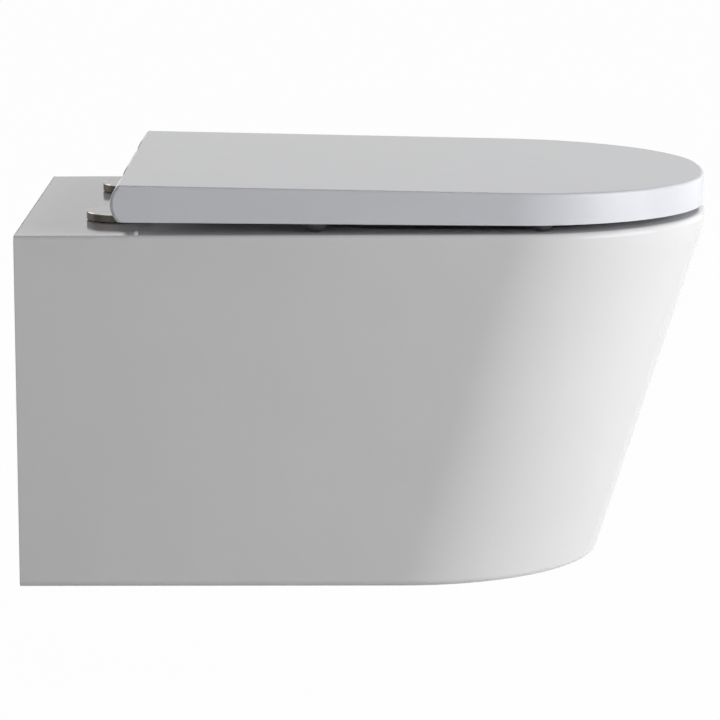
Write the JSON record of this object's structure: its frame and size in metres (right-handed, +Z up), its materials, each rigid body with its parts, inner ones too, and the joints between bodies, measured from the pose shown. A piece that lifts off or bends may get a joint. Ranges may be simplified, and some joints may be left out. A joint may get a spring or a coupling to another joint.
{
  "type": "wall hung toilet",
  "caption": "Wall-hung toilet: skirted D-shaped ceramic pan on hidden wall fixings, with a seat and wrap-over lid on a quick-release soft-close hinge.",
  "frame": {"origin": "the middle of the two wall bolts, on the face of the wall", "axes": "+Y points into the wall, -Y is the nose of the pan, +Z is up and +X is the right-hand side for someone who faces the wall"},
  "size_m": [0.36, 0.5398, 0.3137],
  "materials": {
    "glazed_ceramic": "glazed white sanitary ceramic",
    "white_thermoset": "gloss moulded thermoset",
    "white_plastic": "moulded, satin",
    "grey_rubber": "soft bumper rubber",
    "clear_rubber": "soft bumper rubber",
    "black_rubber": "gasket rubber",
    "dark_plastic": "moulded engineering plastic",
    "chrome": "polished chrome plate",
    "cast_zinc": "die-cast, as cast",
    "zinc_steel": "zinc plated",
    "steel": "stainless, ground",
    "spring_steel": "spring wire, bright"
  },
  "bodies": {
    "pan_body": {"pan": "glazed_ceramic", "bowl_ring": "glazed_ceramic", "bowl": "glazed_ceramic", "trap": "glazed_ceramic", "flush_channel": "glazed_ceramic", "flush_diffuser": "white_plastic", "wall_bracket_left": "zinc_steel", "wall_bracket_right": "zinc_steel", "bracket_spacer_left": "dark_plastic", "bracket_spacer_right": "dark_plastic", "bracket_nut_left": "zinc_steel", "bracket_nut_right": "zinc_steel", "fixing_bolt_left": "zinc_steel", "fixing_bolt_right": "zinc_steel", "hinge_gasket_left": "black_rubber", "hinge_gasket_right": "black_rubber", "hinge_base_left": "cast_zinc", "hinge_base_right": "cast_zinc", "hinge_post_left": "steel", "hinge_post_right": "steel", "hinge_screw_left": "steel", "hinge_screw_right": "steel", "hinge_disc_left": "chrome", "hinge_disc_right": "chrome"},
    "hinge_set": {"hinge_housing_left": "chrome", "hinge_housing_right": "chrome", "retaining_clip_left": "spring_steel", "retaining_clip_right": "spring_steel", "button_spring_left": "spring_steel", "button_spring_right": "spring_steel", "lid_damper": "dark_plastic", "seat_damper": "dark_plastic", "lid_pin": "steel", "seat_pin": "steel"},
    "button_left_body": {"release_button_left": "chrome"},
    "button_right_body": {"release_button_right": "chrome"},
    "seat_body": {"seat": "white_thermoset", "seat_pads": "grey_rubber", "seat_damper_shaft": "steel", "seat_pin_bush": "dark_plastic"},
    "lid_body": {"lid": "white_thermoset", "lid_pads": "clear_rubber", "lid_damper_shaft": "steel", "lid_pin_bush": "dark_plastic"}
  },
  "joints": [
    {"name": "seat_lift_off", "type": "slide", "parent": "pan_body", "child": "hinge_set", "axis": [0, 0, 1], "range_m": [0, 0.03], "deforming": ["retaining_clip_left", "retaining_clip_right"]},
    {"name": "release_button_left_press", "type": "slide", "parent": "hinge_set", "child": "button_left_body", "axis": [-1, 0, 0], "range_m": [0, 0.0018], "stiffness_N_per_m": 600, "springref_m": -0.002, "deforming": ["button_spring_left"]},
    {"name": "release_button_right_press", "type": "slide", "parent": "hinge_set", "child": "button_right_body", "axis": [1, 0, 0], "range_m": [0, 0.0018], "stiffness_N_per_m": 600, "springref_m": -0.002, "deforming": ["button_spring_right"]},
    {"name": "seat_hinge", "type": "hinge", "parent": "hinge_set", "child": "seat_body", "pos_m": [0, -0.0935, 0.114], "axis": [-1, 0, 0], "range_deg": [0, 97]},
    {"name": "lid_hinge", "type": "hinge", "parent": "seat_body", "child": "lid_body", "pos_m": [0, -0.0935, 0.114], "axis": [1, 0, 0], "range_deg": [-98, 0]}
  ]
}
